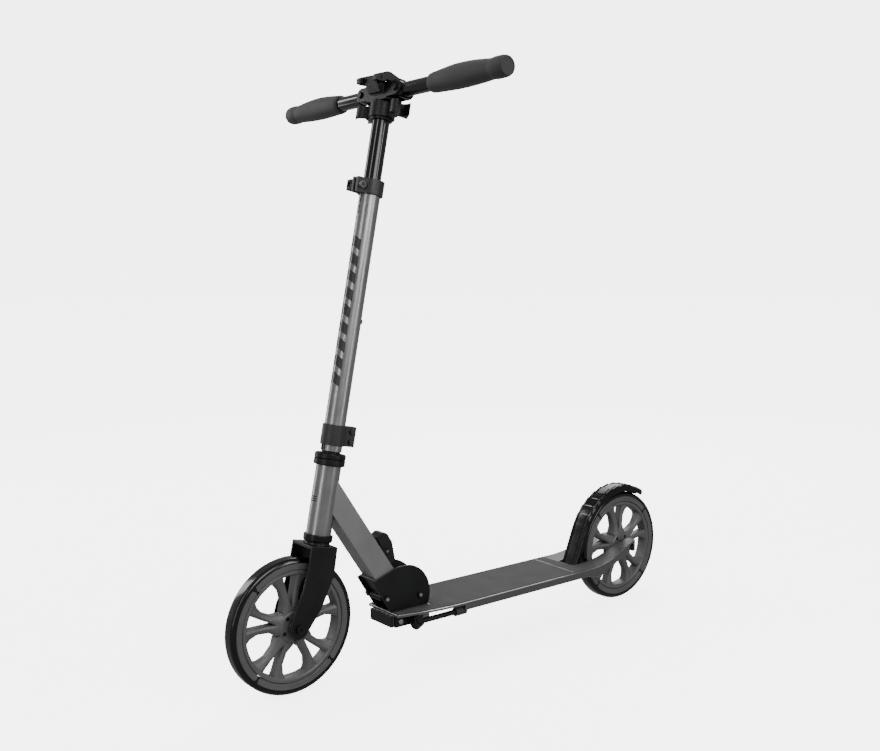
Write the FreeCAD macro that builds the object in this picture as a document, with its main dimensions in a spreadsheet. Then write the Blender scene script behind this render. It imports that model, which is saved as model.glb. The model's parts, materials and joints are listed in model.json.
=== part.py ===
import FreeCAD, Part
import math
import os
import Sketcher

# Folding kick scooter with two large wheels. Millimetres, +X forward, +Y to the rider's left, +Z up.
# The origin lies on the ground midway between the two axles.

SIZES = {
    # overall
    "wheelbase": 725.0, "rake": 11.0, "steer_offset": 26.2, "bar_centre_up": 803.7, "running_gap": 0.05,
    "body_gap": 0.35,
    # wheels
    "wheel_r": 102.5, "tyre_half": 12.7, "tyre_round": 6.2, "band_r": 94.8, "band_half": 12.15,
    "rim_r": 84.2, "rim_half": 11.2, "rim_in": 77.0, "web_half": 7.0, "hub_r": 24.0, "hub_half": 14.0,
    "bearing_r": 11.0, "bearing_wide": 7.0, "axle_r": 3.95, "spokes": 5, "spoke_turn": 84.0,
    "window_in": 43.0, "window_mid": 59.4, "window_half_in": 14.6, "window_half_mid": 17.5,
    "window_half_out": 12.8, "slit_in": 42.0, "slit_half": 8.0,
    # fork
    "fork_half": 28.0, "fork_sheet": 3.0, "crown_up": 117.2, "crown_front": 26.0, "crown_rear": 19.4,
    "leg_end_r": 15.5, "bolt_head": 4.0, "bolt_nut": 6.0,
    # steering column
    "steerer_r": 14.25, "steerer_wall": 2.4, "steerer_top": 296.0, "head_low": 131.2, "head_top": 235.7,
    "head_r": 19.0, "head_in": 17.0, "cup_low_r": 22.1, "cup_top_r": 23.7, "cup_high": 10.3,
    "nut_high": 10.3, "stem_wall": 1.7, "stem_low": 257.2, "stem_top": -135.2,
    "collar_low": 266.1, "collar_top": 297.3, "collar_r": 18.5, "collar_ear": 35.5, "slit": 2.4,
    # height clamp and sliding tube
    "clamp_low": -156.9, "clamp_top": -133.9, "clamp_r": 19.7, "clamp_bolt_x": 23.5, "lever_reach": 55.0,
    "mast_r": 13.4, "mast_wall": 2.0, "mast_low": 376.0, "travel_up": 70.0, "travel_down": 75.0,
    "screw_up": 456.6, "screw_r": 2.45,
    # handlebar
    "bar_r": 11.1, "bar_wall": 1.6, "pivot_out": 44.5, "pivot_r": 3.0, "bar_from": 57.0, "bar_to": 268.0,
    "grip_from": 117.0, "grip_to": 273.0, "grip_r": 17.6, "head_half": 15.0, "clip_low": 38.0,
    "clip_high": 15.0, "latch_pin_x": 27.7, "latch_pin_z": 14.0,
    # frame tube and fold bracket
    "pivot_x": -161.0, "pivot_z": 114.0, "tube_angle": 56.0, "tube_back": 39.9, "tube_deep": 36.0,
    "tube_wide": 35.0, "tube_wall": 3.0, "tube_from": 14.0, "tube_to": 216.0, "plate_half": 22.0,
    "plate_thick": 3.0, "base_thick": 2.5, "rear_bolt_x": -227.4, "rear_bolt_z": 108.0, "fold_bolt_r": 3.95,
    # deck
    "deck_top": 90.0, "deck_half": 58.0, "deck_front": -170.0, "front_half": 39.5, "taper_from": -302.5,
    "deck_sheet": 4.0, "deck_deep": 13.0, "flange": 4.0, "flange_from": -294.5, "rise_from": 127.5,
    "tail_narrow_from": 147.5, "tail_end": -13.5, "tail_half": 37.0, "tail_top": 117.0, "slot_half": 20.0,
    "slot_front": 140.5, "grip_thick": 0.8, "grip_inset": 3.0, "block_half": 28.0, "block_low": 68.0,
    "block_front": -165.0, "block_rear": -242.5, "nut_seat": 30.0,
    # rear brake fender
    "fender_r": 116.0, "fender_thick": 3.0, "fender_half": 17.5, "hinge_x": 124.5, "hinge_z": 81.0,
    # side stand
    "stand_x": -204.5, "stand_y": 46.5, "stand_z": 74.3, "stand_long": 97.0, "stand_slant": 48.65,
    "stand_bolt_r": 4.0, "stand_eye_half": 4.6,
}


class Size:
    """A number together with the spreadsheet expression that gives it."""

    def __init__(self, value, text):
        self.value = float(value)
        self.text = text

    @staticmethod
    def of(thing):
        return thing if isinstance(thing, Size) else Size(thing, repr(float(thing)))

    def __add__(self, other):
        other = Size.of(other)
        return Size(self.value + other.value, f"({self.text} + {other.text})")

    def __sub__(self, other):
        other = Size.of(other)
        return Size(self.value - other.value, f"({self.text} - {other.text})")

    def __mul__(self, other):
        other = Size.of(other)
        return Size(self.value * other.value, f"({self.text} * {other.text})")

    def __truediv__(self, other):
        other = Size.of(other)
        return Size(self.value / other.value, f"({self.text} / {other.text})")

    def __radd__(self, other):
        return Size.of(other) + self

    def __rsub__(self, other):
        return Size.of(other) - self

    def __rmul__(self, other):
        return Size.of(other) * self

    def __rtruediv__(self, other):
        return Size.of(other) / self

    def __neg__(self):
        return Size.of(0.0) - self


def sine(angle):
    angle = Size.of(angle)
    return Size(math.sin(math.radians(angle.value)), f"sin({angle.text})")


def cosine(angle):
    angle = Size.of(angle)
    return Size(math.cos(math.radians(angle.value)), f"cos({angle.text})")


def sheet_sizes(document):
    """The driving sizes, one aliased spreadsheet row each, as Size objects."""
    sheet = document.addObject("Spreadsheet::Sheet", "Sizes")
    found = {}
    for row, (name, value) in enumerate(SIZES.items(), start=1):
        sheet.set(f"A{row}", name)
        sheet.set(f"B{row}", str(value))
        sheet.setAlias(f"B{row}", name)
        found[name] = Size(value, f"Sizes.{name}")
    document.recompute()
    return found


class Frame:
    """A place for pieces: a point and a lean about the Y axis, or about X for the side stand."""

    def __init__(self, x, z, lean=None, y=0.0, about=(0, 1, 0)):
        self.x = Size.of(x)
        self.y = Size.of(y)
        self.z = Size.of(z)
        self.lean = lean
        self.about = about

    def point(self, x, z):
        """The row-frame (x, z) of a point given in this frame."""
        if self.lean is None:
            return self.x + x, self.z + z
        across = x * cosine(self.lean) + z * sine(self.lean)
        up = z * cosine(self.lean) - x * sine(self.lean)
        return self.x + across, self.z + up

    def place(self, thing):
        lean = 0.0 if self.lean is None else self.lean.value
        side = 1.0 if lean >= 0.0 else -1.0
        turn = FreeCAD.Rotation(FreeCAD.Vector(*self.about) * side, abs(lean))
        thing.Placement = FreeCAD.Placement(FreeCAD.Vector(self.x.value, self.y.value, self.z.value), turn)
        thing.setExpression("Placement.Base.x", self.x.text)
        thing.setExpression("Placement.Base.y", self.y.text)
        thing.setExpression("Placement.Base.z", self.z.text)
        if self.lean is not None:
            thing.setExpression("Placement.Rotation.Angle", (self.lean * side).text)


doc = FreeCAD.newDocument("kick_scooter")
S = sheet_sizes(doc)
NODES = []


# Places along the deck are kept as distances from the nearer axle, and the top of the outer tube and its
# clamp as distances from the handlebar.
ANCHORS = {
    "front": ("pivot_x", "rear_bolt_x", "deck_front", "taper_from", "flange_from", "block_front",
              "block_rear",
              "stand_x"),
    "rear": ("rise_from", "tail_narrow_from", "tail_end", "slot_front", "hinge_x"),
    "bar": ("stem_top", "clamp_low", "clamp_top"),
}


def val(name):
    """The size of that name, counted from its anchor if it has one."""
    if name in ANCHORS["front"]:
        return S["wheelbase"] / 2 + S[name]
    if name in ANCHORS["rear"]:
        return S[name] - S["wheelbase"] / 2
    if name in ANCHORS["bar"]:
        return S["bar_centre_up"] + S[name]
    if name == "stem_r":
        return S["steerer_r"] + S["running_gap"] + S["stem_wall"]
    return S[name]


def draw(sketch, points):
    """A closed outline of (x, y) or (x, y, radius) points. A radius bends the edge that arrives at its
    point: positive turns left, negative turns right."""
    count = len(points)
    xs = [Size.of(p[0]) for p in points]
    ys = [Size.of(p[1]) for p in points]
    first = sketch.GeometryCount
    ends = []
    radii = []
    for i in range(count):
        j = (i + 1) % count
        start = FreeCAD.Vector(xs[i].value, ys[i].value, 0)
        stop = FreeCAD.Vector(xs[j].value, ys[j].value, 0)
        bend = points[j][2] if len(points[j]) > 2 else None
        if bend is None:
            sketch.addGeometry(Part.LineSegment(start, stop))
            ends.append((1, 2))
            continue
        bend = Size.of(bend)
        half = (stop - start) * 0.5
        left = FreeCAD.Vector(-half.y, half.x, 0).normalize()
        rise = math.sqrt(max(bend.value ** 2 - half.Length ** 2, 0.0))
        turn_left = bend.value > 0
        centre = start + half + left * (rise if turn_left else -rise)
        tips = (start, stop) if turn_left else (stop, start)
        angles = [math.atan2(p.y - centre.y, p.x - centre.x) for p in tips]
        circle = Part.Circle(centre, FreeCAD.Vector(0, 0, 1), abs(bend.value))
        sketch.addGeometry(Part.ArcOfCircle(circle, angles[0], angles[1]))
        ends.append((1, 2) if turn_left else (2, 1))
        radii.append((first + i, bend if turn_left else -bend))
    rules = []
    bound = []
    for i in range(count):
        before = (i - 1) % count
        rules.append(Sketcher.Constraint("Coincident", first + before, ends[before][1], first + i,
                                         ends[i][0]))
        for kind, size in (("DistanceX", xs[i]), ("DistanceY", ys[i])):
            bound.append((len(rules), size))
            rules.append(Sketcher.Constraint(kind, -1, 1, first + i, ends[i][0], size.value))
    for edge, size in radii:
        bound.append((len(rules), size))
        rules.append(Sketcher.Constraint("Radius", edge, size.value))
    ids = sketch.addConstraint(rules)
    for index, size in bound:
        sketch.setExpression(f"Constraints[{ids[index]}]", size.text)


def draw_circle(sketch, x, y, radius):
    """A full circle at (x, y)."""
    x, y, radius = Size.of(x), Size.of(y), Size.of(radius)
    centre = FreeCAD.Vector(x.value, y.value, 0)
    index = sketch.addGeometry(Part.Circle(centre, FreeCAD.Vector(0, 0, 1), radius.value))
    rules = [
        Sketcher.Constraint("DistanceX", -1, 1, index, 3, x.value),
        Sketcher.Constraint("DistanceY", -1, 1, index, 3, y.value),
        Sketcher.Constraint("Radius", index, radius.value),
    ]
    for rule, size in zip(sketch.addConstraint(rules), (x, y, radius)):
        sketch.setExpression(f"Constraints[{rule}]", size.text)


def fill_sketch(sketch, loops):
    """Draws every loop: a circle is (x, y, radius) as numbers, an outline is a list of points."""
    for loop in loops:
        if isinstance(loop, tuple):
            draw_circle(sketch, *loop)
        else:
            draw(sketch, loop)


class Piece:
    """One sub-part made as a PartDesign body."""

    def __init__(self, label, frame, node=True):
        self.body = doc.addObject("PartDesign::Body", "body_" + label)
        self.body.Label = label
        self.body.AllowCompound = True
        frame.place(self.body)
        self.steps = 0
        if node:
            NODES.append(self.body)

    def sketch(self, plane, loops, offset=None):
        self.steps += 1
        sketch = self.body.newObject("Sketcher::SketchObject", f"{self.body.Label}_outline_{self.steps}")
        origin = [f for f in self.body.Origin.OriginFeatures if f.Role == plane + "_Plane"][0]
        sketch.AttachmentSupport = [(origin, "")]
        sketch.MapMode = "FlatFace"
        if offset is not None:
            offset = Size.of(offset)
            sketch.AttachmentOffset = FreeCAD.Placement(FreeCAD.Vector(0, 0, offset.value),
                                                        FreeCAD.Rotation())
            sketch.setExpression("AttachmentOffset.Base.z", offset.text)
        fill_sketch(sketch, loops)
        return sketch

    def feature(self, kind, sketch):
        feature = self.body.newObject("PartDesign::" + kind, f"{self.body.Label}_{kind.lower()}_{self.steps}")
        feature.Profile = sketch
        return feature

    def turn(self, plane, loops, axis="V_Axis", kind="Revolution"):
        sketch = self.sketch(plane, loops)
        feature = self.feature(kind, sketch)
        feature.ReferenceAxis = (sketch, [axis])
        feature.Angle = 360.0
        return feature

    def pad(self, plane, loops, length, offset=None, symmetric=True, kind="Pad"):
        feature = self.feature(kind, self.sketch(plane, loops, offset))
        feature.SideType = "Symmetric" if symmetric else "One side"
        feature.setExpression("Length", Size.of(length).text)
        return feature

    def cut(self, plane, loops, length, offset=None, symmetric=True):
        return self.pad(plane, loops, length, offset, symmetric, kind="Pocket")

    def polar(self, feature, count):
        """Repeats a feature evenly about the body's own Y axis."""
        pattern = self.body.newObject("PartDesign::PolarPattern", f"{feature.Name}_around")
        pattern.Originals = [feature]
        pattern.Axis = ([f for f in self.body.Origin.OriginFeatures if f.Role == "Y_Axis"][0], [""])
        pattern.Angle = 360.0
        pattern.setExpression("Occurrences", Size.of(count).text)
        self.body.Tip = pattern
        return pattern


GROUND = Frame(0.0, 0.0)
STEER = Frame(val("wheelbase") / 2 - val("steer_offset"), val("wheel_r"), -val("rake"))
TUBE = Frame(val("pivot_x"), val("pivot_z"), 90 - val("tube_angle"))
STAND = Frame(val("stand_x"), val("stand_z"), -val("stand_slant"), val("stand_y"), (1, 0, 0))
FRONT_HUB = Frame(val("wheelbase") / 2, val("wheel_r"))
REAR_HUB = Frame(-(val("wheelbase") / 2), val("wheel_r"))
HUB_X = val("steer_offset") * cosine(val("rake"))
HUB_Z = -(val("steer_offset") * sine(val("rake")))
BAR = val("bar_centre_up")


def box(x0, x1, y0, y1):
    """The four corners of a rectangle."""
    return [(x0, y0), (x1, y0), (x1, y1), (x0, y1)]


def sleeve(label, frame, spans, plane="XZ"):
    """Rings about the plane's vertical axis: each span is (inner radius, outer radius, from, to)."""
    piece = Piece(label, frame)
    piece.turn(plane, [box(a, b, c, d) for a, b, c, d in spans])
    return piece


def hexagon(across, x, y):
    """A regular hexagon, given across its flats, about (x, y)."""
    corner = across / (2 * math.cos(math.radians(30)))
    turns = [math.radians(60 * i) for i in range(6)]
    return [(x + corner * math.cos(t), y + corner * math.sin(t)) for t in turns]


def cross_bolt(label, frame, x, z, shank_r, head_r, head_at, nut_at, socket=5.0, across=12.6):
    """A button-head bolt along Y with its nut: the head stands on y = head_at, the nut on y = -nut_at."""
    head_high, nut_high = val("bolt_head"), val("bolt_nut")
    piece = Piece(label, frame)
    piece.pad("XZ", [(x, z, shank_r)], head_at + nut_at + nut_high + 1, offset=-head_at, symmetric=False)
    head = piece.pad("XZ", [(x, z, head_r)], head_high, offset=-head_at, symmetric=False)
    head.Reversed = True
    piece.pad("XZ", [hexagon(across, x, z)], nut_high, offset=nut_at, symmetric=False)
    deep = head_high * 0.6
    piece.cut("XZ", [hexagon(socket, x, z)], deep, offset=-(head_at + head_high),
              symmetric=False).Reversed = True
    return piece


# ---------------------------------------------------------------- wheels
def polar_point(radius, angle):
    return radius * cosine(angle), radius * sine(angle)


def wheel(name, frame):
    """Five pairs of spokes in a deep rim, with a two-colour tyre, bearings and the tube between them."""
    rim_half, web, hub_half = val("rim_half"), val("web_half"), val("hub_half")
    hub_r, rim_in, rim_r = val("hub_r"), val("rim_in"), val("rim_r")
    pocket = hub_half - val("bearing_wide")
    bearing_r, shoulder = val("bearing_r"), val("bearing_r") - 2
    half = [(shoulder, pocket), (bearing_r, pocket), (bearing_r, hub_half), (hub_r, hub_half),
            (hub_r + 2, web),
            (rim_in, web), (rim_in + 1.2, rim_half), (rim_r, rim_half)]
    rim = Piece(f"{name}_wheel_rim", frame)
    rim.turn("XY", [half + [(x, -y) for x, y in reversed(half)]])
    turn, step = val("spoke_turn"), 180 / val("spokes")
    inner, middle, outer = val("window_half_in"), val("window_half_mid"), val("window_half_out")
    centre = turn + step
    window_out = rim_in - 0.6
    window = [polar_point(val("window_in"), centre - inner), polar_point(val("window_mid"), centre - middle),
              polar_point(window_out, centre - outer),
              (*polar_point(window_out, centre + outer), window_out),
              polar_point(val("window_mid"), centre + middle), polar_point(val("window_in"), centre + inner)]
    slit = [polar_point(val("slit_in"), turn - 2), polar_point(window_out, turn - val("slit_half")),
            (*polar_point(window_out, turn + val("slit_half")), window_out),
            polar_point(val("slit_in"), turn + 2)]
    for outline in (window, slit):
        rim.polar(rim.cut("XZ", [outline], 3 * web), val("spokes"))
    sleeve(f"{name}_wheel_band", frame, [(rim_r, val("band_r"), -val("band_half"), val("band_half"))], "XY")
    tyre, band, edge, bend = val("tyre_half"), val("band_r"), val("wheel_r"), val("tyre_round")
    tread = Piece(f"{name}_tyre", frame)
    tread.turn("XY", [[(band, -tyre), (edge - bend, -tyre), (edge, bend - tyre, bend), (edge, tyre - bend),
                       (edge - bend, tyre, bend), (band, tyre)]])
    bore = val("axle_r") + val("running_gap")
    sleeve(f"{name}_wheel_bearings", frame,
           [(bore, bearing_r, pocket, hub_half), (bore, bearing_r, -hub_half, -pocket)], "XY")


def axle_spacers(name, frame, reach):
    """Three tubes on the axle: one between the bearings and one on each side, out to y = -reach and +reach."""
    near = val("hub_half") + val("body_gap")
    middle = val("hub_half") - val("bearing_wide") - val("body_gap")
    bore = val("axle_r") + val("running_gap")
    tube = bore + 2.5
    spans = [(bore, tube, near, reach), (bore, tube, -reach, -near), (bore, tube, -middle, middle)]
    sleeve(f"{name}_axle_spacers", frame, spans, "XY")


# ---------------------------------------------------------------- fork and steering column
def fork():
    """Folded channel: a crown plate with two flat legs that sweep forward to the axle."""
    top, front, rear = val("crown_up"), val("crown_front"), val("crown_rear")
    end_r, sheet = val("leg_end_r"), val("fork_sheet")
    outline = [(-rear, top), (-20.5, 82.0), (-17.0, 61.0), (-7.5, 26.0),
               (HUB_X - end_r * cosine(30), HUB_Z - end_r * sine(30)),
               (HUB_X + end_r * cosine(10), HUB_Z - end_r * sine(10), end_r),
               (38.0, 22.0), (29.5, 51.0), (26.6, 83.0), (front, top)]
    piece = Piece("fork", STEER)
    piece.pad("XZ", [outline], 2 * val("fork_half"))
    inner = val("fork_half") - sheet
    piece.cut("YZ", [box(-inner, inner, -60.0, top - sheet - 2)], 200.0)
    piece.cut("XZ", [(HUB_X, HUB_Z, val("axle_r") + val("running_gap"))], 4 * val("fork_half"))
    steerer = val("steerer_r")
    race_high = val("head_low") - val("cup_high") - val("body_gap") - top
    piece.pad("XY", [(0.0, 0.0, steerer + 4.5)], race_high + 1, offset=top - 1, symmetric=False)
    piece.cut("XY", [(0.0, 0.0, steerer)], 60.0, offset=top)


def steering_column():
    sr, wall = val("steerer_r"), val("steerer_wall")
    crown, low, high = val("crown_up"), val("head_low"), val("head_top")
    cup = val("cup_high")
    gap = val("body_gap")
    sleeve("steerer_tube", STEER, [(sr - wall, sr, crown - 5, val("steerer_top"))])
    column = val("head_in")
    seat = sr + val("running_gap")
    sleeve("head_tube", STEER, [(column, val("head_r"), low, high)])
    lower = Piece("lower_headset_cup", STEER)
    lower.turn("XZ", [[(seat + 1.3, low - cup), (val("cup_low_r") - 1.5, low - cup),
                       (val("cup_low_r"), low - cup + 2),
                       (val("cup_low_r"), low), (column, low), (column, low + 6), (seat + 1.3, low + 6)]])
    upper = Piece("upper_headset_cup", STEER)
    upper.turn("XZ", [[(seat + 1.3, high - 6), (column, high - 6), (column, high),
                       (val("cup_top_r") - 1, high),
                       (val("cup_top_r"), high + 1.2), (val("cup_top_r"), high + cup - 1),
                       (seat + 1.3, high + cup - 1)]])
    sleeve("headset_bearings", STEER, [(seat, seat + 1.3, low - cup + 1, low + 6),
                                       (seat, seat + 1.3, high - 6, high + cup - 1)])
    nut_low = high + cup - 1 + gap
    nut = Piece("headset_nut", STEER)
    r = val("cup_top_r")
    nut.turn("XZ", [[(sr, nut_low), (r - 1, nut_low), (r, nut_low + 1), (r, nut_low + val("nut_high") - 3),
                     (r - 2, nut_low + val("nut_high") - 1.5), (sr, nut_low + val("nut_high") - 1.5)]])


def stem():
    """Silver outer tube clamped on the steerer, with a slit at each end for its two clamps."""
    r, wall, low, top = val("stem_r"), val("stem_wall"), val("stem_low"), val("stem_top")
    slit = val("slit")
    tube = Piece("stem_tube", STEER)
    tube.turn("XZ", [box(r - wall, r, low, top)])
    tube.cut("YZ", [box(-2 * slit, 2 * slit, low - 1, low + 9)], 30.0, offset=15.0)
    tube.cut("YZ", [box(-slit / 2, slit / 2, top - 52, top + 1)], 30.0, offset=15.0)
    tube.cut("YZ", [box(-slit / 2, slit / 2, low - 1, val("collar_top") - 4)], 30.0, offset=-15.0)
    tube.cut("YZ", [(0.0, val("screw_up"), val("screw_r"))], 30.0, offset=-15.0)


def stem_clamp():
    """Round collar with a pair of flat ears behind it, pulled together by two bolts."""
    low, top, r, ear = val("collar_low"), val("collar_top"), val("collar_r"), val("collar_ear")
    stem_r, slit = val("stem_r"), val("slit")
    collar = Piece("stem_clamp", STEER)
    collar.turn("XZ", [box(stem_r, r, low, top)])
    collar.pad("XY", [box(-ear, -stem_r - 0.6, -7.0, 7.0)], top - low, offset=(top + low) / 2)
    collar.cut("XY", [box(-ear - 2, -stem_r + 3, -slit / 2, slit / 2)], 2 * (top - low),
               offset=(top + low) / 2)
    bolt_x = -(stem_r + ear) / 2 - 1.5
    heights = [low + (top - low) * share for share in (0.25, 0.75)]
    collar.cut("XZ", [(bolt_x, z, 2.5) for z in heights], 60.0)
    bolts = Piece("stem_screws", STEER)
    bolts.pad("XZ", [(bolt_x, z, 2.45) for z in heights], 16.5)
    bolts.pad("XZ", [(bolt_x, z, 4.2) for z in heights], 4.0, offset=-9.0)
    bolts.pad("XZ", [hexagon(8.0, bolt_x, z) for z in heights], 3.0, offset=8.6)
    guide_screw(bolts)


def guide_screw(screws):
    """Screw through the rear of the outer tube; its tip runs in the sliding tube's slot."""
    r, x, z = val("screw_r"), val("stem_r"), val("screw_up")
    tip = 10.6
    screws.pad("YZ", [(0.0, z, r)], x - tip + 0.8, offset=-tip, symmetric=False).Reversed = True
    screws.pad("YZ", [(0.0, z, 4.4)], 2.8, offset=-x - 0.1, symmetric=False).Reversed = True


def height_clamp():
    """Quick-release collar round the top of the outer tube, ears and bolt in front, lever on the right."""
    low, top, r, stem_r = val("clamp_low"), val("clamp_top"), val("clamp_r"), val("stem_r")
    bx, mid, slit = val("clamp_bolt_x"), (val("clamp_low") + val("clamp_top")) / 2, val("slit")
    gap, high = val("running_gap"), top - low
    collar = Piece("height_clamp_collar", STEER)
    collar.turn("XZ", [box(stem_r, r, low, top)])
    collar.pad("XY", [box(stem_r + 0.5, bx + 6.5, -8.0, 8.0)], high, offset=mid)
    collar.cut("XY", [box(stem_r - 2, bx + 8, -slit, slit)], 2 * high, offset=mid)
    collar.cut("XZ", [(bx, mid, 3.0)], 60.0)
    bolt = Piece("height_clamp_bolt", STEER)
    eye_y = -15.6
    bolt.pad("XZ", [(bx, mid, 3.0 - gap)], 15.0 - eye_y, offset=-15.0, symmetric=False)
    bolt.pad("XY", [(bx, eye_y, 3.6)], 15.0, offset=mid)
    nut = Piece("height_clamp_nut", STEER)
    nut.pad("XZ", [(bx, mid, 5.4)], 6.0, offset=-14.0, symmetric=False)
    nut.cut("XZ", [(bx, mid, 3.0 - gap)], 30.0, offset=-11.0)
    lever = Piece("height_lever", STEER)
    reach, face, back = val("lever_reach"), -21.0, -25.4
    arm = [(bx + 4.5, eye_y - 5.0), (bx - 6.0, face), (bx - reach, face + 0.8), (bx - reach, back + 1.6),
           (bx - reach + 2, back), (bx + 2.0, back), (bx + 6.3, back + 3.0)]
    lever.pad("XY", [[*arm]], 16.0, offset=mid)
    lever.pad("XY", [(bx, eye_y, 7.2)], 16.0, offset=mid)
    slot = 3.0 + val("body_gap")
    lever.cut("XZ", [box(bx - 7.6, bx + 7.6, mid - slot, mid + slot)], 18.6, offset=13.1)
    lever.cut("XY", [(bx, eye_y, 3.6 + gap)], 40.0, offset=mid)


def sliding_tube():
    """Black inner tube: slides in a plastic bush, held from turning by the guide screw in its slot."""
    r, wall, low = val("mast_r"), val("mast_wall"), val("mast_low")
    tube = Piece("sliding_tube", STEER)
    tube.turn("XZ", [box(r - wall, r, low, BAR - 14)])
    half = val("screw_r") + val("body_gap")
    start = val("screw_up") - val("travel_up") - half
    stop = val("screw_up") + val("travel_down") + half
    tube.cut("YZ", [box(-half, half, start, stop)], 40.0, offset=-20.0)
    stem_in = val("stem_r") - val("stem_wall")
    sleeve("guide_bush", STEER, [(r + val("running_gap"), stem_in, val("clamp_low") - 24, val("stem_top"))])


# ---------------------------------------------------------------- handlebar
def bar_head():
    """Forged head on the sliding tube: front and rear cheeks hold the two folding bars."""
    half, out, r = val("head_half"), val("pivot_out"), val("mast_r")
    cheek = val("bar_r") + val("body_gap")
    head = Piece("bar_head", STEER)
    round_r = 11.0
    stadium = [(-out, BAR - round_r, round_r), (out, BAR - round_r), (out + round_r, BAR, round_r),
               (out, BAR + round_r, round_r), (-out, BAR + round_r), (-out - round_r, BAR, round_r)]
    head.pad("YZ", [stadium], 2 * half)
    head.pad("XZ", [box(-half, half, BAR - 14, BAR + 12)], 52.0)
    head.pad("XY", [(0.0, 0.0, 17.0)], 30.0, offset=BAR - 42, symmetric=False)
    lug_x, lug_z = val("latch_pin_x"), BAR + val("latch_pin_z")
    lug = [(half - 2, BAR - 4), (half + 5, BAR - 4), (lug_x + 5.5, lug_z), (lug_x, lug_z + 5.5, 5.5),
           (half - 2, BAR + 12)]
    head.pad("XZ", [lug], 30.4)
    head.cut("XY", [(0.0, 0.0, r)], 28.0, offset=BAR - 42, symmetric=False).Reversed = True
    head.cut("XY", [box(-cheek, cheek, 28.0, 70.0), box(-cheek, cheek, -70.0, -28.0)], 60.0, offset=BAR)
    head.cut("YZ", [(out, BAR, val("pivot_r")), (-out, BAR, val("pivot_r"))], 60.0)
    head.cut("XZ", [(lug_x, lug_z, 2.0)], 60.0)


def bar_clips():
    """Plastic ring under the head with two open clips that receive the folded bars."""
    out, low, high = val("pivot_out"), BAR - val("clip_low"), BAR - val("clip_high")
    inner = val("bar_r") + 0.5
    outer = inner + 3.4
    clips = Piece("bar_clips", STEER)
    clips.pad("XY", [(0.0, 0.0, 20.0), ], high - low, offset=(high + low) / 2)
    clips.pad("XY", [box(-6.0, 6.0, -out + inner, out - inner)], high - low, offset=(high + low) / 2)
    clips.pad("XY", [(0.0, out, outer), (0.0, -out, outer)], high - low - 4, offset=(high + low) / 2)
    clips.cut("XY", [(0.0, out, inner), (0.0, -out, inner)], 80.0, offset=BAR - 20)
    clips.cut("XY", [box(-inner, inner, out, out + 30), box(-inner, inner, -out - 30, -out)], 80.0,
              offset=BAR - 20)
    clips.cut("XY", [(0.0, 0.0, 17.0)], 80.0, offset=BAR - 20)


def latch_profile():
    pin_x, pin_z = val("latch_pin_x"), BAR + val("latch_pin_z")
    return [(pin_x + 9.5, pin_z - 6.5), (pin_x + 11, pin_z), (pin_x + 6.3, pin_z + 4.2, 9.0),
            (pin_x - 9.0, pin_z + 12.0), (pin_x - 14.5, pin_z + 12.4), (-13.0, BAR + 20.5),
            (-13.0, BAR + 12.6),
            (pin_x - 9.5, BAR + 12.6), (pin_x - 6.0, pin_z - 5.0), (pin_x + 3.0, pin_z - 6.5)]


def bar_side(name, side):
    """Everything of one folding bar: knuckle, tube, grip, pivot pin and its latch lever."""
    out, r, gap = val("pivot_out"), val("bar_r"), val("running_gap")
    inner = r - val("bar_wall")
    knuckle = Piece(f"{name}_bar_knuckle", STEER)
    knuckle.pad("YZ", [(side * out, BAR, r - 0.1)], 2 * (r - 0.1))
    shank_from, shank_to = val("bar_from") - 14, val("bar_from") + 28
    knuckle.pad("XZ", [(0.0, BAR, inner)], shank_to - shank_from,
                offset=-side * (shank_from + shank_to) / 2)
    knuckle.cut("YZ", [(side * out, BAR, val("pivot_r") + gap)], 60.0)
    start, stop = side * val("bar_from"), side * val("bar_to")
    middle, length = (start + stop) / 2, val("bar_to") - val("bar_from")
    tube = Piece(f"{name}_bar_tube", STEER)
    tube.pad("XZ", [(0.0, BAR, r)], length, offset=-middle)
    tube.cut("XZ", [(0.0, BAR, inner)], 2 * length, offset=-middle)
    grip_frame = Frame(*STEER.point(Size.of(0.0), BAR), -val("rake"))
    a, b, big = val("grip_from"), val("grip_to"), val("grip_r")
    rows = [(r, a), (13.6, a), (14.4, a + 5), (big, a + 58), (16.4, a + 98), (14.0, b - 38), (14.0, b - 32),
            (15.2, b - 20, 22.0), (13.4, b - 3, 22.0), (11.5, b), (0.0, b), (0.0, val("bar_to")),
            (r, val("bar_to"))]
    points = [(row[0], side * row[1], *[side * bend for bend in row[2:]]) for row in rows]
    grip = Piece(f"{name}_grip", grip_frame)
    grip.turn("XY", [points])
    latch = Piece(f"{name}_latch_lever", STEER)
    pin_x, pin_z = val("latch_pin_x"), BAR + val("latch_pin_z")
    latch.pad("XZ", [latch_profile()], 10.0, offset=-side * 21.0)
    latch.pad("XZ", [box(-6.0, 6.0, BAR + 12.6, BAR + 17.0)], 16.0, offset=-side * 33.0)
    latch.cut("XZ", [(pin_x, pin_z, 2.0 + gap)], 60.0, offset=-side * 21.0)


def handlebar():
    bar_head()
    bar_clips()
    pins = Piece("bar_head_pins", STEER)
    pin_x, pin_z = val("latch_pin_x"), BAR + val("latch_pin_z")
    pins.pad("XZ", [(pin_x, pin_z, 2.0)], 54.0)
    out, half = val("pivot_out"), val("head_half")
    ends = [(out, BAR), (-out, BAR)]
    pins.pad("YZ", [(y, z, val("pivot_r")) for y, z in ends], 2 * half + 2)
    pins.pad("YZ", [(y, z, 5.0) for y, z in ends], 3.0, offset=half, symmetric=False)
    pins.pad("YZ", [(y, z, 5.0) for y, z in ends], 3.0, offset=-half, symmetric=False).Reversed = True
    for name, side in (("left", 1), ("right", -1)):
        bar_side(name, side)


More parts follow.
